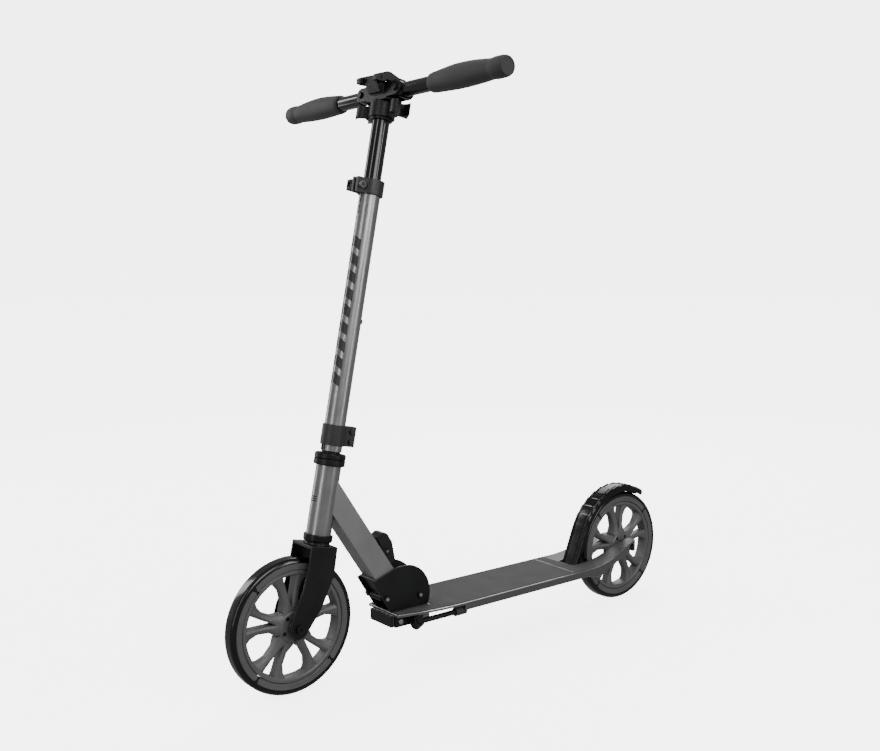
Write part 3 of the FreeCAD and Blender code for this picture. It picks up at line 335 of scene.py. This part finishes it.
class CadFinishes:
    """Gives each node that is shown as it is its procedural finish."""

    def build(self) -> None:
        """Dresses the nodes."""
        slots = {p["node"]: p["material_slot"] for p in frame["record"]["subparts"]}
        for name, node in frame["nodes"].items():
            node.data.materials.clear()
            node.data.materials.append(FINISHES[slots[name]].material())


@dataclass
class Wheel:
    """A moulded wheel: sculpted spoke pairs in a deep rim, a grey side band and a black tread."""

    name: str
    body: str
    axle: Vector
    first_spoke: float = 87.0
    pairs: int = 5
    hub_r: float = 0.0235
    rim_in: float = 0.0772
    rim_r: float = 0.0840
    band_r: float = 0.0948
    wheel_r: float = 0.1025
    notches: tuple[float, ...] = (47.0, 138.0, 225.0, 314.0)

    def build(self) -> None:
        """Builds the pieces of the wheel."""
        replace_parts(self.rim(), f"{self.name}_wheel_rim")
        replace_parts(self.band(), f"{self.name}_wheel_band")
        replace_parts(self.tread(), f"{self.name}_tyre")
        # black discs of painted shade where the hub has pockets
        self.pocket_shade_discs()
        self.groove_marks()

    def spot(self, radius: float, angle: float, y: float) -> Vector:
        """A point of the wheel.

        Args:
            radius: Its distance from the axle.
            angle: Its angle in degrees, from forward towards up.
            y: Its place across the wheel.

        Returns:
            The point in the row frame.
        """
        turn = math.radians(angle)
        return Vector((radius * math.cos(turn), y, radius * math.sin(turn)))

    def ring(self, shape: bmesh.types.BMesh, profile: list[tuple[float, float]], steps: int = 120) -> None:
        """Spins a closed profile of (radius, y) points round the axle.

        Args:
            shape: The mesh to add to.
            profile: The points.
            steps: Steps of the full turn.
        """
        points = [shape.verts.new((r, y, 0.0)) for r, y in profile]
        edges = [shape.edges.new((points[i - 1], points[i])) for i in range(len(points))]
        bmesh.ops.spin(shape, geom=points + edges, cent=(0, 0, 0), axis=(0, 1, 0), angle=math.tau,
                       steps=steps, use_merge=True, use_duplicate=False)

    def close(self, shape: bmesh.types.BMesh) -> None:
        """Merges seams, turns the faces outwards and moves the mesh to the axle.

        Args:
            shape: The mesh.
        """
        bmesh.ops.remove_doubles(shape, verts=shape.verts, dist=2e-6)
        bmesh.ops.recalc_face_normals(shape, faces=shape.faces)
        bmesh.ops.translate(shape, verts=shape.verts, vec=self.axle)

    def spokes(self, shape: bmesh.types.BMesh) -> None:
        """Adds the spoke pairs: one sheet with a raised edge, turned, thickened and rounded.

        Args:
            shape: The mesh to add to.
        """
        rows = [
            (0.0215, (0.0, 10.0, 23.0, 36.0), (0.0118, 0.0124, 0.0124, 0.0118)),
            (0.0290, (0.0, 9.0, 20.0, 32.0), (0.0104, 0.0116, 0.0104, 0.0086)),
            (0.0400, (3.2, 8.0, 14.2, 18.6), (0.0078, 0.0102, 0.0086, 0.0062)),
            (0.0580, (6.0, 9.4, 13.4, 16.4), (0.0064, 0.0090, 0.0078, 0.0054)),
            (0.0700, (7.4, 11.0, 15.6, 19.6), (0.0068, 0.0090, 0.0084, 0.0062)),
            (0.0785, (8.0, 12.0, 17.6, 23.4), (0.0080, 0.0096, 0.0096, 0.0084)),
        ]
        sheet = bmesh.new()
        for side in (1.0, -1.0):
            grid = []
            for radius, angles, heights in rows:
                grid.append([sheet.verts.new(self.spot(radius, self.first_spoke + side * a, h))
                             for a, h in zip(angles, heights)])
            for near, far in zip(grid, grid[1:]):
                for i in range(3):
                    loop = (near[i], near[i + 1], far[i + 1], far[i])
                    sheet.faces.new(loop if side < 0 else loop[::-1])
        bmesh.ops.remove_doubles(sheet, verts=sheet.verts, dist=1e-5)
        bmesh.ops.spin(sheet, geom=sheet.verts[:] + sheet.edges[:] + sheet.faces[:], cent=(0, 0, 0),
                       axis=(0, 1, 0), angle=math.tau, steps=self.pairs, use_duplicate=True)
        bmesh.ops.remove_doubles(sheet, verts=sheet.verts, dist=1e-5)
        deep = bmesh.ops.extrude_face_region(sheet, geom=sheet.faces[:])
        for vert in (v for v in deep["geom"] if isinstance(v, bmesh.types.BMVert)):
            vert.co.y = -vert.co.y
        bmesh.ops.recalc_face_normals(sheet, faces=sheet.faces)
        Shape.round_edges(sheet, 0.0008, segments=2, angle=50.0)
        copy = bpy.data.meshes.new("spokes")
        sheet.to_mesh(copy)
        sheet.free()
        shape.from_mesh(copy)
        bpy.data.meshes.remove(copy)

    def rim(self) -> bpy.types.Object:
        """The spokes, the hub and the barrel.

        Returns:
            The piece.
        """
        shape = bmesh.new()
        half = [(self.rim_in, 0.0), (self.rim_in, 0.0088), (self.rim_in + 0.0009, 0.0104),
                (self.rim_in + 0.0022, 0.0112), (self.rim_r - 0.0008, 0.0112), (self.rim_r, 0.0106)]
        self.ring(shape, half + [(r, -y) for r, y in half[:0:-1]])
        hub = [(0.0112, 0.0136), (0.0180, 0.0140), (0.0226, 0.0136), (0.0242, 0.0122), (0.0246, 0.0)]
        self.ring(shape, hub + [(r, -y) for r, y in hub[-2::-1]], 64)
        self.spokes(shape)
        self.close(shape)
        return Shape.finished(f"{self.name}_spoked_rim", shape, "rim_grey", self.body, 24.0)

    def band(self) -> bpy.types.Object:
        """The grey side band between the rim and the tread.

        Returns:
            The piece.
        """
        shape = bmesh.new()
        half = [(self.rim_r + 0.0007, 0.0098), (self.rim_r + 0.0009, 0.0112), (self.rim_r + 0.0018, 0.01205),
                (self.band_r - 0.0012, 0.01225), (self.band_r - 0.0004, 0.0116), (self.band_r - 0.0003, 0.0)]
        self.ring(shape, half + [(r, -y) for r, y in half[-2::-1]])
        self.close(shape)
        return Shape.finished(f"{self.name}_side_band", shape, "tyre_band", self.body, 35.0)

    def tread(self) -> bpy.types.Object:
        """The black tread, rounded at its shoulders.

        Returns:
            The piece.
        """
        shape = bmesh.new()
        half = [(self.band_r, 0.0), (self.band_r, 0.0121), (self.band_r + 0.0005, 0.0127),
                (self.band_r + 0.0016, 0.0127)]
        centre_r, bend = self.wheel_r - 0.0062, 0.0062
        for i in range(7):
            turn = math.radians(90.0 * i / 6)
            half.append((centre_r + bend * math.sin(turn), 0.0065 + bend * math.cos(turn)))
        half.append((self.wheel_r, 0.0))
        self.ring(shape, half + [(r, -y) for r, y in half[-2:0:-1]], 144)
        self.close(shape)
        return Shape.finished(f"{self.name}_tread", shape, "tyre_black", self.body, 35.0)

    def pocket_shade_discs(self) -> None:
        """Black discs round the hub, one behind each window: painted shade that stands in for the dark inside
        the hub's pockets.
        """
        shape = bmesh.new()
        for i in range(self.pairs):
            for side in (1.0, -1.0):
                made = bmesh.ops.create_cone(shape, cap_ends=True, segments=20, radius1=0.0031,
                                             radius2=0.0029, depth=0.0008)
                angle = self.first_spoke + 36.0 + 72.0 * i
                place = Matrix.Translation(self.spot(0.0188, angle, side * 0.0141))
                bmesh.ops.transform(shape, verts=made["verts"],
                                    matrix=place @ Matrix.Rotation(math.radians(-90.0 * side), 4, "X"))
        self.close(shape)
        # painted shade: black discs put where the hub's pockets lie in shadow
        Shape.finished(f"{self.name}_hub_pocket_shade", shape, "black_plastic", self.body)

    def groove_marks(self) -> None:
        """Four waisted black keys that lock each band to the tread, and rows of small raised bars."""
        keys, bars = bmesh.new(), bmesh.new()
        outline = [(0.0846, 1.9), (0.0893, 0.7), (0.0952, 2.3), (0.0952, -2.3), (0.0893, -0.7),
                   (0.0846, -1.9)]
        for side in (1.0, -1.0):
            for angle in self.notches:
                self.block(keys, [(r, angle + a) for r, a in outline], side * 0.0117, side * 0.01255)
            for start in (5.0, 95.0, 178.0, 262.0):
                for i in range(7):
                    near, wide = start + 2.1 * i, 1.25 if i % 3 else 0.6
                    loop = [(0.0880, near), (0.0912, near), (0.0912, near + wide), (0.0880, near + wide)]
                    self.block(bars, loop, side * 0.0119, side * 0.01242)
        for name, shape, slot in (("band_keys", keys, "tyre_black"), ("band_bars", bars, "tyre_band")):
            self.close(shape)
            Shape.finished(f"{self.name}_{name}", shape, slot, self.body)

    def block(self, shape: bmesh.types.BMesh, outline: list[tuple[float, float]], low: float,
              high: float) -> None:
        """Adds a prism across the wheel.

        Args:
            shape: The mesh to add to.
            outline: Its (radius, angle) corners.
            low: The y where it starts.
            high: The y where it ends.
        """
        base = shape.faces.new([shape.verts.new(self.spot(r, a, low)) for r, a in outline])
        grown = bmesh.ops.extrude_face_region(shape, geom=[base])
        for vert in (v for v in grown["geom"] if isinstance(v, bmesh.types.BMVert)):
            vert.co.y = high


@dataclass
class BrakeFender:
    """The foot brake: a smooth lower panel and a stepped shell over the wheel with a rounded tip.

    Lengths are in metres and angles in degrees round the rear axle, from forward towards up.
    """

    start: float = 22.0
    sweep: float = 103.0
    steps: int = 66
    plates: int = 8
    foot_drop: tuple[float, float, float] = (0.0252, 0.0, -0.0605)
    first_plate: float = 8.0
    bare_sweep: float = 30.0
    plate_rise: float = 0.0021
    plate_side: float = 0.0172
    outer_from: float = 0.1128
    inner_to: float = 0.1120
    tip_sweep: float = 11.0
    tip_taper: float = 0.92
    tip_inner: tuple[float, float] = (0.105, 0.0035)

    def build(self) -> None:
        """Builds the shell."""
        shape = bmesh.new()
        section = [(0.0, 0.1160), (0.0082, 0.1158), (0.0100, 0.1146), (0.0114, 0.1146), (0.0124, 0.1162),
                   (0.0142, 0.1162), (0.0150, 0.1146), (0.0160, 0.1140), (0.0175, 0.1132), (0.0175, 0.1050),
                   (0.0150, 0.1050), (0.0150, 0.1112), (0.0130, 0.1126), (0.0, 0.1130)]
        loop = section + [(-y, r) for y, r in section[-2:0:-1]]
        turn = math.radians(self.start)
        corners = [shape.verts.new((r * math.cos(turn), y, r * math.sin(turn))) for y, r in loop]
        face = shape.faces.new(corners)
        foot = bmesh.ops.extrude_face_region(shape, geom=[face])
        arc_start = [f for f in foot["geom"] if isinstance(f, bmesh.types.BMFace)][0]
        bmesh.ops.translate(shape, verts=list(face.verts), vec=self.foot_drop)
        bmesh.ops.spin(shape, geom=[arc_start], cent=(0, 0, 0), axis=(0, 1, 0),
                       angle=-math.radians(self.sweep), steps=self.steps, use_duplicate=False)
        self.step(shape)
        bmesh.ops.recalc_face_normals(shape, faces=shape.faces)
        bmesh.ops.translate(shape, verts=shape.verts, vec=REAR_AXLE)
        piece = Shape.finished("fender_shell", shape, "fender_plastic", "brake", 28.0)
        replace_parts(piece, "brake_fender")

    def step(self, shape: bmesh.types.BMesh) -> None:
        """Raises the shell in overlapping plates and rounds its tip.

        Args:
            shape: The shell round the origin.
        """
        pitch = (self.sweep - self.bare_sweep) / self.plates
        tip = self.start + self.sweep - self.tip_sweep
        for vert in shape.verts:
            angle = math.degrees(math.atan2(vert.co.z, vert.co.x))
            radius = math.hypot(vert.co.x, vert.co.z)
            past = angle - self.start - self.first_plate
            plated = 0.0 < past < pitch * self.plates and abs(vert.co.y) < self.plate_side
            if radius > self.outer_from and plated:
                share = (past / pitch) % 1.0
                lift = 1.0 + self.plate_rise * share / radius
                vert.co.x *= lift
                vert.co.z *= lift
            if angle > tip:
                share = min(1.0, (angle - tip) / self.tip_sweep)
                vert.co.y *= math.sqrt(max(0.02, 1.0 - self.tip_taper * share ** 3))
                if radius < self.inner_to:
                    inner, growth = self.tip_inner
                    target = inner + growth * share ** 3
                    vert.co.x *= target / radius
                    vert.co.z *= target / radius


@dataclass
class Grip:
    """A soft palm grip: slim where it starts, full in the palm, waisted before a rounded end."""

    name: str
    side: float
    lift: float = 0.0016
    palm_from: float = 0.122
    palm_long: float = 0.118
    palm_end: float = 0.24

    def fullness(self, y: float) -> float:
        """How full the palm is, from 0 at its ends to 1 in its middle.

        Args:
            y: The place along the bar, in metres from its middle.

        Returns:
            The share.
        """
        if abs(y) >= self.palm_end:
            return 0.0
        return max(0.0, math.sin(math.pi * (abs(y) - self.palm_from) / self.palm_long))

    def build(self) -> None:
        """Builds the grip."""
        rows = [(0.0112, 0.1171), (0.0132, 0.1171), (0.0141, 0.1180), (0.0146, 0.1210), (0.0150, 0.1270),
                (0.0158, 0.1400), (0.0168, 0.1570), (0.0174, 0.1740), (0.0173, 0.1900), (0.0168, 0.2060),
                (0.0160, 0.2200), (0.0149, 0.2340), (0.0142, 0.2425), (0.0141, 0.2460), (0.0147, 0.2490),
                (0.0151, 0.2530), (0.0151, 0.2600), (0.0147, 0.2670), (0.0138, 0.2712), (0.0126, 0.2728),
                (0.0104, 0.2728), (0.0100, 0.2722), (0.0, 0.2722)]
        shape = bmesh.new()
        points = [shape.verts.new((r, self.side * y, 0.0)) for r, y in rows]
        edges = [shape.edges.new(pair) for pair in zip(points, points[1:])]
        bmesh.ops.spin(shape, geom=points + edges, cent=(0, 0, 0), axis=(0, 1, 0), angle=math.tau, steps=48,
                       use_merge=True, use_duplicate=False)
        bmesh.ops.remove_doubles(shape, verts=shape.verts, dist=2e-6)
        for vert in shape.verts:
            full = self.fullness(vert.co.y)
            vert.co.z += self.lift * full * (0.35 if vert.co.z < 0.0 else 1.0)
            vert.co.x *= 1.0 - 0.05 * full
        bmesh.ops.holes_fill(shape, edges=[e for e in shape.edges if e.is_boundary], sides=0)
        bmesh.ops.recalc_face_normals(shape, faces=shape.faces)
        bmesh.ops.transform(shape, verts=shape.verts,
                            matrix=STEER_PLACE @ Matrix.Translation((0.0, 0.0, BAR_UP)))
        piece = Shape.finished(f"{self.name}_palm_grip", shape, "grip_rubber", f"{self.name}_bar", 40.0,
                               weighted=False)
        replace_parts(piece, f"{self.name}_grip")


@dataclass
class TubeMarks:
    """Plain chevrons on the stem and a small mark on the head tube, as thin printed films."""

    stem_r: float = 0.01606
    head_r: float = 0.01906
    start: float = 0.357
    stop: float = 0.590
    count: int = 9
    filled: float = 0.62
    slant: float = 0.007

    def film(self, shape: bmesh.types.BMesh, radius: float, low: float, high: float,
             angles: tuple[float, float], slant: float) -> None:
        """Adds a patch that follows a tube.

        Args:
            shape: The mesh to add to.
            radius: The tube's radius and a hair more.
            low: The patch's start along the tube.
            high: Its end along the tube.
            angles: The angles in degrees that it spans, from forward towards the left.
            slant: How far it climbs from its first side to its second, in metres.
        """
        made = bmesh.ops.create_grid(shape, x_segments=12, y_segments=4, size=0.5)
        for vert in made["verts"]:
            share = vert.co.x + 0.5
            up = low + (high - low) * (vert.co.y + 0.5) + slant * (share - 0.5)
            turn = math.radians(angles[0] + (angles[1] - angles[0]) * share)
            vert.co = (radius * math.cos(turn), radius * math.sin(turn), up)

    def build(self) -> None:
        """Builds the films."""
        stem = bmesh.new()
        pitch = (self.stop - self.start) / self.count
        for i in range(self.count):
            low = self.start + i * pitch
            high = low + pitch * self.filled
            self.film(stem, self.stem_r, low, high, (-46.0, -3.0), self.slant)
            self.film(stem, self.stem_r, low, high, (3.0, 46.0), -self.slant)
        head = bmesh.new()
        for i in range(3):
            self.film(head, self.head_r, 0.1805 + 0.0032 * i, 0.1823 + 0.0032 * i, (-14.0, 22.0), 0.0)
        films = (("stem_blocks", stem, "steering_column"), ("head_marks", head, "front_frame"))
        for name, shape, body in films:
            bmesh.ops.transform(shape, verts=shape.verts, matrix=STEER_PLACE)
            bmesh.ops.solidify(shape, geom=shape.faces[:], thickness=0.00005)
            bmesh.ops.recalc_face_normals(shape, faces=shape.faces)
            Shape.finished(name, shape, "clamp_grey", body, weighted=False)


@dataclass
class BoltCentres:
    """The bright sockets in the middle of the bracket's dark bolts."""

    places: tuple[tuple[float, float], ...] = ((0.2015, 0.1140), (0.1351, 0.1080))
    radius: float = 0.0034

    def build(self) -> None:
        """Builds the sockets on both sides of the bracket."""
        shape = bmesh.new()
        right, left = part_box("bracket_rear_bolts")
        for x, z in self.places:
            for side, face in ((1.0, left.y), (-1.0, right.y)):
                reach = face + side * (0.0012 if x > 0.15 else 0.0002)
                made = bmesh.ops.create_cone(shape, cap_ends=True, segments=32, radius1=self.radius,
                                             radius2=self.radius * 0.72, depth=0.0012)
                turn = Matrix.Rotation(math.radians(-90.0 * side), 4, "X")
                bmesh.ops.transform(shape, verts=made["verts"],
                                    matrix=Matrix.Translation((x, reach, z)) @ turn)
        bmesh.ops.recalc_face_normals(shape, faces=shape.faces)
        Shape.finished("bracket_bolt_centres", shape, "steel", "deck")


class DeckMarks:
    """The thin pale line printed across the grip sheet near its rear end."""

    def build(self) -> None:
        """Builds the dashes of the line."""
        shape = bmesh.new()
        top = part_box("grip_surface")[1].z
        first, last = Vector((-0.1945, -0.047, 0.0)), Vector((-0.1895, 0.050, 0.0))
        count, film = 26, 0.00008
        for i in range(count):
            wide = 0.0030 if i % 3 else 0.0021
            tall = 0.0022 if i % 4 else 0.0034
            made = bmesh.ops.create_grid(shape, x_segments=1, y_segments=1, size=0.5)
            spot = first.lerp(last, (i + 0.5) / count) + Vector((0.0, 0.0, top + film))
            matrix = Matrix.Translation(spot) @ Matrix.Diagonal((tall, wide, 1.0, 1.0))
            bmesh.ops.transform(shape, verts=made["verts"], matrix=matrix)
        bmesh.ops.solidify(shape, geom=shape.faces[:], thickness=film)
        bmesh.ops.recalc_face_normals(shape, faces=shape.faces)
        Shape.finished("deck_line", shape, "frame_silver", "deck", weighted=False)


@dataclass
class Studio:
    """Pale floor, soft lights and the camera."""

    eye: Vector = field(default_factory=lambda: Vector((1.1117, 1.2693, 0.6141)))
    turn: float = -129.2246
    dip: float = 5.5139
    lens: float = 41.41
    ambient: float = 0.30
    glow: float = 4.2
    backdrop: float = 5.0

    def build(self) -> None:
        """Builds the floor, the lights and the camera."""
        self.floor()
        self.light("key_light", (0.5, 2.6, 1.9), (1.7, 1.7), 52.0)
        self.light("front_strip", (2.3, 0.5, 1.1), (0.35, 2.0), 13.0)
        self.light("left_strip", (-0.9, 2.4, 1.0), (0.30, 2.0), 16.0)
        self.light("back_light", (-1.8, -1.6, 1.9), (1.6, 1.6), 34.0)
        self.light("far_strip", (1.2, -2.2, 1.0), (0.5, 2.0), 18.0)
        self.sky()
        world = bpy.context.scene.world or bpy.data.worlds.new("studio")
        bpy.context.scene.world = world
        world.use_nodes = True
        tree = world.node_tree
        backdrop = tree.nodes["Background"]
        backdrop.inputs["Color"].default_value = (1.0, 1.0, 1.0, 1.0)
        seen = tree.nodes.new("ShaderNodeLightPath")
        strength = tree.nodes.new("ShaderNodeMapRange")
        strength.inputs["To Min"].default_value = self.ambient
        strength.inputs["To Max"].default_value = self.backdrop
        tree.links.new(seen.outputs["Is Camera Ray"], strength.inputs["Value"])
        tree.links.new(strength.outputs["Result"], backdrop.inputs["Strength"])
        camera = bpy.data.cameras.new("camera")
        camera.lens = self.lens
        camera.sensor_width = 36.0
        camera.clip_start = 0.01
        seat = bpy.data.objects.new("camera", camera)
        seat.location = self.eye
        seat.rotation_euler = (math.radians(90.0 - self.dip), 0.0, math.radians(self.turn - 90.0))
        bpy.context.scene.collection.objects.link(seat)
        bpy.context.scene.camera = seat

    def floor(self) -> None:
        """A wide pale floor just under the tyres."""
        shape = bmesh.new()
        bmesh.ops.create_grid(shape, x_segments=1, y_segments=1, size=30.0)
        bmesh.ops.translate(shape, verts=shape.verts, vec=(0.0, 0.0, -0.0002))
        mesh = bpy.data.meshes.new("floor")
        shape.to_mesh(mesh)
        shape.free()
        material = bpy.data.materials.new("floor_paper")
        material.use_nodes = True
        shader = material.node_tree.nodes["Principled BSDF"]
        shader.inputs["Base Color"].default_value = (0.86, 0.86, 0.86, 1.0)
        shader.inputs["Roughness"].default_value = 0.9
        shader.inputs["Emission Color"].default_value = (1.0, 1.0, 1.0, 1.0)
        shader.inputs["Emission Strength"].default_value = self.glow
        mesh.materials.append(material)
        floor = bpy.data.objects.new("floor", mesh)
        floor.visible_glossy = False
        floor.visible_diffuse = False
        bpy.context.scene.collection.objects.link(floor)

    def sky(self) -> None:
        """A wide soft overhead light that keeps the floor pale far from the scooter."""
        lamp = bpy.data.lights.new("sky_light", "SUN")
        lamp.energy = 2.6
        lamp.angle = math.radians(70.0)
        stand = bpy.data.objects.new("sky_light", lamp)
        stand.visible_glossy = False
        stand.rotation_euler = (math.radians(12.0), math.radians(14.0), 0.0)
        bpy.context.scene.collection.objects.link(stand)

    def light(self, name: str, place: tuple[float, float, float], size: tuple[float, float],
              power: float) -> None:
        """A rectangular soft light that faces the scooter.

        Args:
            name: The light's name.
            place: Where it stands, in metres.
            size: Its width and height in metres.
            power: Its power in watts.
        """
        lamp = bpy.data.lights.new(name, "AREA")
        lamp.energy = power
        lamp.shape = "RECTANGLE"
        lamp.size, lamp.size_y = size
        stand = bpy.data.objects.new(name, lamp)
        stand.location = place
        aim = Vector((0.0, 0.0, 0.45)) - Vector(place)
        stand.rotation_euler = aim.to_track_quat("-Z", "Y").to_euler()
        bpy.context.scene.collection.objects.link(stand)


SOFTENED = [
    "deck", "front_block", "front_end_cap", "fold_bracket", "fold_pivot_bolt", "bracket_rear_bolts",
    "rear_axle_bolt", "stand_mount", "stand_mount_bolts", "stand_pivot_bolt", "frame_tube", "head_tube",
    "lower_headset_cup", "upper_headset_cup", "release_lever_mount", "fork", "headset_nut", "stem_tube",
    "stem_clamp", "stem_screws", "height_clamp_collar", "height_clamp_bolt", "height_clamp_nut",
    "front_axle_bolt", "sliding_tube", "bar_head", "bar_clips", "bar_head_pins", "height_lever",
    "left_bar_knuckle", "right_bar_knuckle", "left_bar_tube", "right_bar_tube", "left_latch_lever",
    "right_latch_lever", "release_lever", "stand_leg", "stand_foot",
]
WIDTHS = {
    "fork": 0.0008, "release_lever": 0.0012, "bar_head": 0.0009, "height_lever": 0.001,
    "left_latch_lever": 0.0009, "right_latch_lever": 0.0009, "front_end_cap": 0.0005, "deck": 0.0007,
}


def main() -> None:
    """Builds the scooter's looks, one sub-assembly after another."""
    logging.basicConfig(level=logging.INFO, format="%(name)s: %(message)s")
    CadFinishes().build()
    SoftenedParts(overrides=WIDTHS).build(SOFTENED)
    Wheel("front", "front_wheel", FRONT_AXLE).build()
    Wheel("rear", "rear_wheel", REAR_AXLE).build()
    BrakeFender().build()
    Grip("left", 1.0).build()
    Grip("right", -1.0).build()
    TubeMarks().build()
    BoltCentres().build()
    DeckMarks().build()
    Studio().build()


if __name__ == "__main__":
    main()
